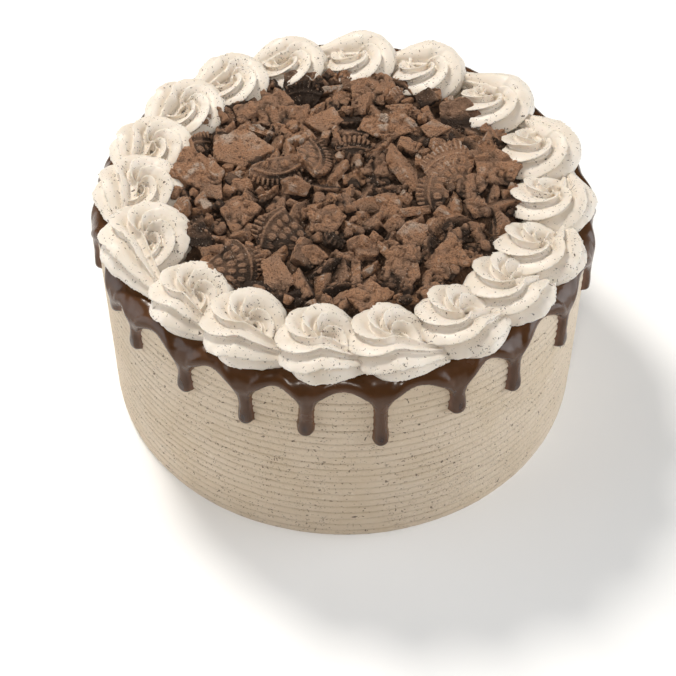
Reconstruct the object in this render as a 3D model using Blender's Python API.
"""Cookies and cream layer cake, modelled as solids.

A round frosted cake with comb lines round its side, a poured chocolate coat that drips over the
shoulder, a ring of piped cream swirls along the edge, and a heap of broken cookies inside the ring.
Metres, +Z up, origin at the middle of the flat underside.
"""

import math
import random

import bmesh
import bpy
from mathutils import Matrix, Vector

# Cake body
CAKE_RADIUS = 0.1015
CAKE_HEIGHT = 0.095
SHOULDER_RADIUS = 0.006
BODY_SIDES = 32
BODY_ARC_STEPS = 2
COMB_PITCH = 0.0043
COMB_DEPTH = 0.0008
COMB_FIRST = 0.0016
FOOT_SHARE = 0.995

# Air left between touching pieces, and the reach of cutters that pass right through
GAP = 0.0003
CUTTER_RADIUS = 0.14
CUTTER_LOW = 0.07
CUTTER_HIGH = 0.14

# Chocolate coat
COAT_THICKNESS = 0.0015
COAT_INNER_RADIUS = 0.0885
COAT_EDGE_Z = 0.0935
COAT_LIP = 0.0012
COAT_BACK_RISE = 0.0004
COAT_BEND_ANGLE = 50.0
WEB_DROP = 0.0080
WEB_REACH = 0.0125
WEB_SHARES = (0.0, 0.33, 0.67, 1.0)
DRIP_WIDTH = 0.0058
DRIP_DEPTH = 0.0024
# Height above the tip, share of the width and share of the depth, from the neck down to the tip
DRIP_LEVELS = ((None, 1.2, 0.4), (0.0065, 0.92, 0.9), (0.0030, 1.16, 1.15), (0.0, 0.55, 0.6))
# Compass angle in degrees and height of the tip of each drip in millimetres
DRIPS = (
    (-152, 80), (-143, 72), (-127, 70), (-112, 67), (-98, 67), (-82, 61), (-65, 70), (-50, 66),
    (-32, 66), (-15, 70), (1, 63),
)
HIDDEN_DRIPS = 9
HIDDEN_DRIP_TIPS = (0.060, 0.077)
HIDDEN_DRIP_SHIFT = 0.12

# Piped swirls: where each one was piped, as a compass angle in degrees
SWIRL_ANGLES = (-116, -96, -78, -58, -40, -24, -4, 17, 41, 65, 86, 107, 126, 144, 163, 180, 201, 226)
SWIRL_RING_RADIUS = 0.0838
RING_CENTRE = (0.0005, -0.0030)
LOOP_RADIUS = 0.0074
LOOP_TIGHTENING = 0.12
LOOP_START = -25.0
LOOP_END = 272.0
LOOP_SHARE = 0.74
ROPE_RADIUS = 0.0107
ROPE_SINK = 0.80
THIN_START = 0.70
FULL_WIDTH_SHARE = 0.45
SWIRL_SQUASH = 0.84
TAIL_RADIUS = 0.0022
TAIL_GAP_SHARE = 0.60
TAIL_OUT = 0.0042
TAIL_BOW = 0.0012
TAIL_TURN = 10.0
RIDGE_ROLL = 0.62
STAR_POINTS = 8
STAR_DEPTH = 0.42
GROOVE_SHARPNESS = 0.8
PETAL_FLARE = 0.12
PETAL_FLARE_ANGLE = 25.0
SWIRL_SIZE_SPREAD = 0.03
SWIRL_TURN_SPREAD = 8.0
WIDE_GAP_GROWTH = 0.40
ROPE_STEPS = 44
ROPE_SIDES = 48
SWIRL_TRIANGLES = 158
SWIRL_VOXEL = 0.0008

# Broken cookies
HEAP_RADIUS = 0.0730
HEAP_CORE_HEIGHT = 0.0062
HEAP_CORE_EDGE = 0.0030
HEAP_CORE_SLOPE = 0.0090
COOKIE_THICKNESS = 0.0050
CHUNK_SHOW = 0.45
CHUNK_REACHES = (0.47, 0.56)
HEAP_HEIGHT = 0.0160
# Large pieces: x, y, width and depth in millimetres, then the compass angle that the upper face
# leans towards and how far it leans, in degrees
LARGE_CHUNKS = (
    (-17, 55, 16, 16, -90, 48), (-31, 43, 25, 21, -80, 20), (-60, 24, 20, 12, -10, 42),
    (-52, 27, 17, 8, 170, 68), (-42, 20, 27, 18, -90, 12), (-12, 15, 24, 17, 20, 22),
    (-28, 6, 29, 13, -70, 42), (-8, 38, 18, 14, -90, 15), (4, 23, 15, 11, -90, 25),
    (-60, 3, 22, 26, -60, 18), (12, 58, 21, 18, -90, 25), (26, 45, 17, 8, -100, 60),
    (50, 41, 21, 20, -100, 45), (18, 34, 27, 13, -90, 32), (39, 33, 14, 10, -90, 30),
    (63, 7, 19, 16, -90, 28), (43, 9, 23, 25, -80, 15), (24, 8, 29, 12, 20, 38),
    (13, 4, 13, 19, -100, 38), (35, -8, 14, 21, -80, 24), (52, -4, 14, 14, -90, 20),
    (-56, -32, 12, 13, -90, 50), (-41, -21, 17, 18, -90, 20), (-26, -29, 22, 21, -80, 26),
    (-7, -22, 16, 16, -90, 20), (-41, -49, 24, 23, -70, 24), (-26, -55, 14, 19, -90, 25),
    (-16, -58, 18, 7, 20, 62), (27, -31, 14, 12, -60, 30), (40, -44, 19, 21, -90, 22),
    (21, -51, 16, 23, -110, 32), (5, -51, 17, 5, 0, 80), (9, -66, 20, 14, -90, 20),
    (62, -26, 13, 9, 180, 52),
)
SMALL_CHUNK_SPOTS = 66
SMALL_CHUNK_SIZES = (0.0080, 0.0130)
SMALL_CHUNK_CLEARANCE = 0.0095
SMALL_CHUNK_SPREAD = 0.0700
SMALL_CHUNK_TILTS = (8, 45)
SEED = 20


def material(name, colour, roughness, coat=0.0):
    made = bpy.data.materials.new(name)
    made.use_nodes = True
    shader = made.node_tree.nodes["Principled BSDF"]
    shader.inputs["Base Color"].default_value = (*colour, 1.0)
    shader.inputs["Roughness"].default_value = roughness
    shader.inputs["Metallic"].default_value = 0.0
    shader.inputs["Coat Weight"].default_value = coat
    made.diffuse_color = (*colour, 1.0)
    return made


def mesh_object(name, points, faces, finish=None):
    mesh = bpy.data.meshes.new(name)
    mesh.from_pydata([tuple(point) for point in points], [], faces)
    shell = bmesh.new()
    shell.from_mesh(mesh)
    bmesh.ops.recalc_face_normals(shell, faces=shell.faces)
    shell.to_mesh(mesh)
    shell.free()
    made = bpy.data.objects.new(name, mesh)
    bpy.context.scene.collection.objects.link(made)
    if finish:
        mesh.materials.append(finish)
    return made


def smooth(piece, degrees):
    piece.data.shade_smooth()
    piece.data.set_sharp_from_angle(angle=math.radians(degrees))


def loft(rings, capped=True):
    """Points and faces of a skin over closed rings of equal length."""
    count = len(rings[0])
    points = [point for ring in rings for point in ring]
    faces = []
    for row in range(len(rings) - 1):
        for i in range(count):
            j = (i + 1) % count
            low, high = row * count, (row + 1) * count
            faces.append((low + i, low + j, high + j, high + i))
    if capped:
        faces.append(tuple(range(count)))
        faces.append(tuple(range(len(points) - count, len(points))))
    return points, faces


def turned(name, profile, sides, finish=None):
    """A solid of revolution from (radius, height) pairs, bottom first, with flat ends."""
    rings = []
    for radius, height in profile:
        ring = []
        for side in range(sides):
            angle = 2 * math.pi * side / sides
            ring.append((radius * math.cos(angle), radius * math.sin(angle), height))
        rings.append(ring)
    return mesh_object(name, *loft(rings), finish)


def apply_modifiers(piece):
    """The piece's evaluated mesh becomes its own mesh."""
    graph = bpy.context.evaluated_depsgraph_get()
    graph.update()
    made = bpy.data.meshes.new_from_object(piece.evaluated_get(graph))
    piece.modifiers.clear()
    piece.data = made


def remove(piece):
    bpy.data.objects.remove(piece, do_unlink=True)


def boolean(piece, other, operation):
    """Closed faceted bodies, where the exact solver leaves edges that touch."""
    step = piece.modifiers.new("boolean", "BOOLEAN")
    step.operation = operation
    step.solver = "MANIFOLD"
    step.object = other
    apply_modifiers(piece)


def fuse(piece, others):
    """One union of the piece and a collection of others, which are then removed."""
    group = bpy.data.collections.new("fused")
    bpy.context.scene.collection.children.link(group)
    for other in others:
        bpy.context.scene.collection.objects.unlink(other)
        group.objects.link(other)
    step = piece.modifiers.new("fuse", "BOOLEAN")
    step.operation = "UNION"
    step.solver = "MANIFOLD"
    step.operand_type = "COLLECTION"
    step.collection = group
    apply_modifiers(piece)
    for other in others:
        remove(other)
    bpy.data.collections.remove(group)


def keep_largest_body(piece):
    """Drops loose scraps that a cut leaves."""
    shell = bmesh.new()
    shell.from_mesh(piece.data)
    shell.verts.ensure_lookup_table()
    unseen = set(shell.verts)
    bodies = []
    while unseen:
        body, front = set(), [unseen.pop()]
        while front:
            point = front.pop()
            body.add(point)
            for edge in point.link_edges:
                other = edge.other_vert(point)
                if other in unseen:
                    unseen.discard(other)
                    front.append(other)
        bodies.append(body)
    bodies.sort(key=len)
    for body in bodies[:-1]:
        bmesh.ops.delete(shell, geom=list(body), context="VERTS")
    shell.to_mesh(piece.data)
    shell.free()


def merge_close_points(piece, distance):
    shell = bmesh.new()
    shell.from_mesh(piece.data)
    bmesh.ops.remove_doubles(shell, verts=shell.verts, dist=distance)
    bmesh.ops.dissolve_degenerate(shell, edges=shell.edges, dist=distance)
    bmesh.ops.triangulate(shell, faces=shell.faces)
    shell.to_mesh(piece.data)
    shell.free()


def blend(start, end, share):
    share = min(max(share, 0.0), 1.0)
    share = share * share * (3 - 2 * share)
    return start + (end - start) * share


# Cake body

def shoulder_radius_at(height, out=0.0):
    """Radius of the cake's side or shoulder at a height, grown outwards."""
    start = CAKE_HEIGHT - SHOULDER_RADIUS
    if height <= start:
        return CAKE_RADIUS + out
    bend = SHOULDER_RADIUS + out
    rise = min((height - start) / bend, 1.0)
    return CAKE_RADIUS - SHOULDER_RADIUS + bend * math.sqrt(1.0 - rise * rise)


def shoulder_arc(out, steps):
    """(radius, height) pairs from the side to the top, grown outwards."""
    for step in range(steps + 1):
        angle = 0.5 * math.pi * step / steps
        bend = SHOULDER_RADIUS + out
        yield (
            CAKE_RADIUS - SHOULDER_RADIUS + bend * math.cos(angle),
            CAKE_HEIGHT - SHOULDER_RADIUS + bend * math.sin(angle),
        )


def make_body(finish):
    profile = [(CAKE_RADIUS * FOOT_SHARE, 0.0)]
    top = CAKE_HEIGHT - SHOULDER_RADIUS
    height = COMB_FIRST
    while height + 0.5 * COMB_PITCH < top:
        profile.append((CAKE_RADIUS, height))
        profile.append((CAKE_RADIUS - COMB_DEPTH, height + 0.5 * COMB_PITCH))
        height += COMB_PITCH
    profile.extend(shoulder_arc(0.0, BODY_ARC_STEPS))
    body = turned("cake_body", profile, BODY_SIDES, finish)
    smooth(body, 30)


# Chocolate coat

def drip_places():
    """(angle in radians, tip height) of every drip, the hidden ones spread over the back."""
    chance = random.Random(SEED)
    places = [(math.radians(angle), tip / 1000) for angle, tip in DRIPS]
    first, last = DRIPS[-1][0], DRIPS[0][0] + 360
    step = (last - first) / (HIDDEN_DRIPS + 1)
    for i in range(HIDDEN_DRIPS):
        shift = chance.uniform(-HIDDEN_DRIP_SHIFT, HIDDEN_DRIP_SHIFT)
        angle = first + step * (i + 1 + shift)
        places.append((math.radians(angle), chance.uniform(*HIDDEN_DRIP_TIPS)))
    return places


def coat_edge(angle, places):
    """Height of the coat's lower edge, which webs down towards each drip."""
    nearest = min(abs(math.remainder(angle - place, 2 * math.pi)) for place, tip in places)
    away = max(nearest * CAKE_RADIUS - 0.5 * DRIP_WIDTH, 0.0)
    return COAT_EDGE_Z - WEB_DROP * max(1.0 - away / WEB_REACH, 0.0) ** 2


def coat_section(edge):
    """(radius, height) pairs round the coat's cross-section, from its inner edge over the outside."""
    out = GAP + COAT_THICKNESS
    flat = CAKE_RADIUS - SHOULDER_RADIUS
    mid = math.radians(COAT_BEND_ANGLE)
    section = [(COAT_INNER_RADIUS, CAKE_HEIGHT + out), (flat, CAKE_HEIGHT + out)]
    section.append((
        flat + (SHOULDER_RADIUS + out) * math.cos(mid),
        CAKE_HEIGHT - SHOULDER_RADIUS + (SHOULDER_RADIUS + out) * math.sin(mid),
    ))
    lip = edge + COAT_LIP
    section.append((shoulder_radius_at(lip, out), lip))
    section.append((shoulder_radius_at(edge, GAP + 0.3 * COAT_THICKNESS), edge))
    foot = edge + COAT_BACK_RISE
    for radius, height in shoulder_arc(2 * GAP, BODY_ARC_STEPS):
        if height <= foot:
            radius, height = shoulder_radius_at(foot, 2 * GAP), foot
        section.append((radius, height))
    section.append((COAT_INNER_RADIUS, CAKE_HEIGHT + 2 * GAP))
    return section


def make_drip(angle, tip):
    """A hanging drop with a flat back: a narrow neck, a round bulb and a rounded tip."""
    neck = CAKE_HEIGHT - SHOULDER_RADIUS - 2 * GAP
    half = 0.5 * DRIP_WIDTH
    back = CAKE_RADIUS + 1.4 * GAP
    front = (-1.0, -0.5, 0.5, 1.0)
    rings = []
    for rise, width, depth in DRIP_LEVELS:
        height = neck if rise is None else tip + rise
        ring = []
        for share in front:
            bulge = DRIP_DEPTH * depth * math.sqrt(1.0 - (0.97 * share) ** 2)
            reach = back + 0.1 * GAP + bulge
            turn = angle + share * half * width / CAKE_RADIUS
            ring.append((reach * math.cos(turn), reach * math.sin(turn), height))
        for share in (front[-1], front[0]):
            turn = angle + share * half * width / CAKE_RADIUS
            ring.append((back * math.cos(turn), back * math.sin(turn), height))
        rings.append(ring)
    return mesh_object("drip", *loft(rings))


def make_coat(finish):
    places = drip_places()
    ordered = sorted(angle % (2 * math.pi) for angle, tip in places)
    columns = []
    for i, angle in enumerate(ordered):
        following = ordered[(i + 1) % len(ordered)]
        step = (following - angle) % (2 * math.pi)
        edge = 0.5 * DRIP_WIDTH / CAKE_RADIUS
        for share in WEB_SHARES:
            columns.append(angle + edge + (step - 2 * edge) * share)
    rings = []
    for angle in columns:
        section = coat_section(coat_edge(angle, places))
        rings.append([(r * math.cos(angle), r * math.sin(angle), z) for r, z in section])
    rings.append(rings[0])
    points, faces = loft(rings, capped=False)
    coat = mesh_object("ganache_drip", points, faces, finish)
    merge_close_points(coat, 0.00002)
    fuse(coat, [make_drip(angle, tip) for angle, tip in places])
    smooth(coat, 50)


# Piped swirls

def rope_at(share, tail):
    """Centre, heading and radius of the cream rope, in a frame with x along the ring and y inwards."""
    start, end = math.radians(LOOP_START), math.radians(LOOP_END)
    if share <= LOOP_SHARE:
        along = share / LOOP_SHARE
        angle = start + (end - start) * along
        loop = LOOP_RADIUS * (1.0 - LOOP_TIGHTENING * (1.0 - along))
        centre = Vector((loop * math.cos(angle), loop * math.sin(angle), 0.0))
        heading = angle + 0.5 * math.pi
        radius = ROPE_RADIUS * blend(THIN_START, 1.0, along / FULL_WIDTH_SHARE)
    else:
        along = (share - LOOP_SHARE) / (1.0 - LOOP_SHARE)
        loop_end = Vector((LOOP_RADIUS * math.cos(end), LOOP_RADIUS * math.sin(end), 0.0))
        heading = end + 0.5 * math.pi + math.radians(TAIL_TURN) * along
        centre = loop_end.lerp(Vector((tail, -TAIL_OUT, 0.0)), along)
        centre.y -= TAIL_BOW * math.sin(math.pi * along)
        radius = blend(ROPE_RADIUS, TAIL_RADIUS, 0.06 + 0.94 * along)
    centre.z = ROPE_SINK * radius
    return centre, heading, radius


def rope_ring(centre, heading, radius, phase):
    """A star-shaped section whose ridges roll over the rope as it turns, from outside to inside."""
    outward = Vector((math.sin(heading), -math.cos(heading), 0.0))
    roll = RIDGE_ROLL * heading + phase
    ring = []
    for side in range(ROPE_SIDES):
        angle = 2 * math.pi * side / ROPE_SIDES
        groove = abs(math.sin(0.5 * STAR_POINTS * (angle - roll))) ** GROOVE_SHARPNESS
        reach = radius * (1.0 - STAR_DEPTH * groove)
        flare = 1.0 + PETAL_FLARE * max(math.cos(angle + math.radians(PETAL_FLARE_ANGLE)), 0.0)
        offset = outward * (reach * flare * math.cos(angle))
        offset.z = reach * math.sin(angle)
        ring.append(centre + offset)
    return ring


def swirl_size(spacing):
    """Wider gaps to the next swirl hold larger swirls."""
    even = 2 * math.pi * SWIRL_RING_RADIUS / len(SWIRL_ANGLES)
    return 1.0 + WIDE_GAP_GROWTH * max(spacing / even - 1.0, 0.0)


def make_rope(index, spacing):
    """The whole swirl before it is set on the cake, as one closed high-resolution body."""
    chance = random.Random(SEED + index)
    phase = chance.uniform(0.0, 2 * math.pi / STAR_POINTS)
    size = swirl_size(spacing) * (1.0 + chance.uniform(-SWIRL_SIZE_SPREAD, SWIRL_SIZE_SPREAD))
    turn = math.radians(chance.uniform(-SWIRL_TURN_SPREAD, SWIRL_TURN_SPREAD))
    rings = []
    for step in range(ROPE_STEPS + 1):
        centre, heading, radius = rope_at(step / ROPE_STEPS, spacing * TAIL_GAP_SHARE)
        rings.append(rope_ring(centre, heading, radius, phase))
    rope = mesh_object("rope", *loft(rings))
    squash = Matrix.Diagonal((size, size, size * SWIRL_SQUASH, 1.0))
    rope.data.transform(Matrix.Rotation(turn, 4, "Z") @ squash)
    body = rope.modifiers.new("skin", "REMESH")
    body.mode = "VOXEL"
    body.voxel_size = SWIRL_VOXEL
    apply_modifiers(rope)
    return rope


def reduce_to(piece, triangles):
    """Collapses edges until about this many triangles are left."""
    piece.data.calc_loop_triangles()
    fewer = piece.modifiers.new("fewer", "DECIMATE")
    fewer.ratio = triangles / len(piece.data.loop_triangles)
    fewer.use_collapse_triangulate = True
    apply_modifiers(piece)


def place_swirl(piece, degrees):
    angle = math.radians(degrees)
    outward = Vector((math.cos(angle), math.sin(angle), 0.0))
    along = Vector((-math.sin(angle), math.cos(angle), 0.0))
    spot = outward * SWIRL_RING_RADIUS + Vector((*RING_CENTRE, CAKE_HEIGHT + GAP))
    frame = Matrix((
        (along.x, -outward.x, 0.0, spot.x),
        (along.y, -outward.y, 0.0, spot.y),
        (0.0, 0.0, 1.0, spot.z),
        (0.0, 0.0, 0.0, 1.0),
    ))
    piece.data.transform(frame)


def make_seat():
    """Everything under the ring of swirls, as a cutter: the cake and its coat with their gaps."""
    out = COAT_THICKNESS + 2 * GAP
    profile = [(CAKE_RADIUS + out, CUTTER_LOW)]
    profile.extend(shoulder_arc(out, 4))
    profile.append((COAT_INNER_RADIUS - GAP, CAKE_HEIGHT + out))
    profile.append((COAT_INNER_RADIUS - 2 * GAP, CAKE_HEIGHT + GAP))
    return turned("seat", profile, BODY_SIDES)


def hull_round(piece, distance):
    """The piece's convex hull, grown by a distance, to cut its neighbours with."""
    shell = bmesh.new()
    for vertex in piece.data.vertices:
        shell.verts.new(vertex.co)
    bmesh.ops.convex_hull(shell, input=shell.verts)
    inside = [point for point in shell.verts if not point.link_faces]
    bmesh.ops.delete(shell, geom=inside, context="VERTS")
    shell.normal_update()
    moves = [(point, point.normal * distance * point.calc_shell_factor()) for point in shell.verts]
    for point, move in moves:
        point.co += move
    hull = bpy.data.meshes.new("reach")
    shell.to_mesh(hull)
    shell.free()
    grown = bpy.data.objects.new("reach", hull)
    bpy.context.scene.collection.objects.link(grown)
    return grown


def make_swirls(finish):
    count = len(SWIRL_ANGLES)
    seat = make_seat()
    under = CAKE_HEIGHT - 2 * GAP
    floor = turned("floor", [(CUTTER_RADIUS, CUTTER_LOW), (CUTTER_RADIUS, under)], BODY_SIDES)
    swirls = []
    for i, angle in enumerate(SWIRL_ANGLES):
        spacing = math.radians((SWIRL_ANGLES[(i + 1) % count] - angle) % 360) * SWIRL_RING_RADIUS
        swirl = make_rope(i, spacing)
        swirl.name = f"swirl_{i + 1:02d}"
        place_swirl(swirl, angle)
        boolean(swirl, floor, "DIFFERENCE")
        reduce_to(swirl, SWIRL_TRIANGLES)
        swirls.append(swirl)
    remove(floor)
    reaches = [hull_round(swirl, GAP) for swirl in swirls]
    for i, swirl in enumerate(swirls):
        boolean(swirl, reaches[(i + 1) % count], "DIFFERENCE")
        boolean(swirl, seat, "DIFFERENCE")
        keep_largest_body(swirl)
        swirl.data.materials.clear()
        swirl.data.materials.append(finish)
        smooth(swirl, 40)
    remove(seat)
    return reaches


# Broken cookies

def make_chunk(chance, spot, width, depth, facing, tilt):
    """A broken piece of a thin cookie: an uneven flat polygon with slanted edges, leaning over."""
    corners = chance.choice((4, 5, 5))
    thickness = COOKIE_THICKNESS * chance.uniform(0.85, 1.15)
    outline = []
    for corner in range(corners):
        angle = 2 * math.pi * (corner + chance.uniform(-0.25, 0.25)) / corners
        reach = chance.uniform(*CHUNK_REACHES)
        outline.append((reach * width * math.cos(angle), reach * depth * math.sin(angle)))
    rings = []
    for height, share in ((-0.5 * thickness, chance.uniform(0.8, 1.0)), (0.5 * thickness, 1.0)):
        rings.append([(x * share, y * share, height) for x, y in outline])
    chunk = mesh_object("chunk", *loft(rings))
    lean = math.radians(tilt)
    half_height = 0.5 * (depth * math.sin(lean) + thickness * math.cos(lean))
    rise = min(HEAP_CORE_HEIGHT + CHUNK_SHOW * half_height, HEAP_HEIGHT - half_height)
    place = Matrix.Translation((*spot, CAKE_HEIGHT + GAP + rise))
    turn = Matrix.Rotation(math.radians(facing + 90), 4, "Z")
    chunk.data.transform(place @ turn @ Matrix.Rotation(lean, 4, "X"))
    return chunk


def make_chunks():
    """The large pieces, then small ones spread between them by an even spiral."""
    chance = random.Random(SEED)
    chunks = []
    for x, y, width, depth, facing, tilt in LARGE_CHUNKS:
        spot = (0.001 * x, 0.001 * y)
        chunks.append(make_chunk(chance, spot, 0.001 * width, 0.001 * depth, facing, tilt))
    golden = math.pi * (3 - math.sqrt(5))
    for i in range(SMALL_CHUNK_SPOTS):
        spread = SMALL_CHUNK_SPREAD * math.sqrt((i + 0.5) / SMALL_CHUNK_SPOTS)
        x, y = spread * math.cos(golden * i), spread * math.sin(golden * i)
        width, depth = chance.uniform(*SMALL_CHUNK_SIZES), chance.uniform(*SMALL_CHUNK_SIZES)
        facing, tilt = chance.uniform(0, 360), chance.uniform(*SMALL_CHUNK_TILTS)
        away = min(math.dist((1000 * x, 1000 * y), chunk[:2]) for chunk in LARGE_CHUNKS)
        if away > 1000 * SMALL_CHUNK_CLEARANCE:
            chunks.append(make_chunk(chance, (x, y), width, depth, facing, tilt))
    return chunks


def make_heap(finish, swirl_reaches):
    """The heap of pieces on a low core, clear of every swirl."""
    floor = CAKE_HEIGHT + GAP
    edge = HEAP_RADIUS - GAP
    heap = turned("cookie_heap", [
        (edge, floor), (edge, floor + HEAP_CORE_EDGE),
        (edge - HEAP_CORE_SLOPE, floor + HEAP_CORE_HEIGHT),
    ], BODY_SIDES)
    fuse(heap, make_chunks())
    clear = turned("clear", [(HEAP_RADIUS, floor), (HEAP_RADIUS, CUTTER_HIGH)], BODY_SIDES)
    boolean(heap, clear, "INTERSECT")
    remove(clear)
    for reach in swirl_reaches:
        boolean(heap, reach, "DIFFERENCE")
        remove(reach)
    keep_largest_body(heap)
    heap.data.materials.clear()
    heap.data.materials.append(finish)


def main():
    for leftover in list(bpy.data.objects):
        remove(leftover)
    frosting = material("frosting", (0.62, 0.53, 0.42), 0.6)
    chocolate = material("chocolate", (0.10, 0.045, 0.025), 0.22, 0.6)
    cream = material("cream", (0.80, 0.72, 0.62), 0.5)
    cookie = material("cookie", (0.12, 0.065, 0.04), 0.8)
    make_body(frosting)
    make_coat(chocolate)
    make_heap(cookie, make_swirls(cream))


main()
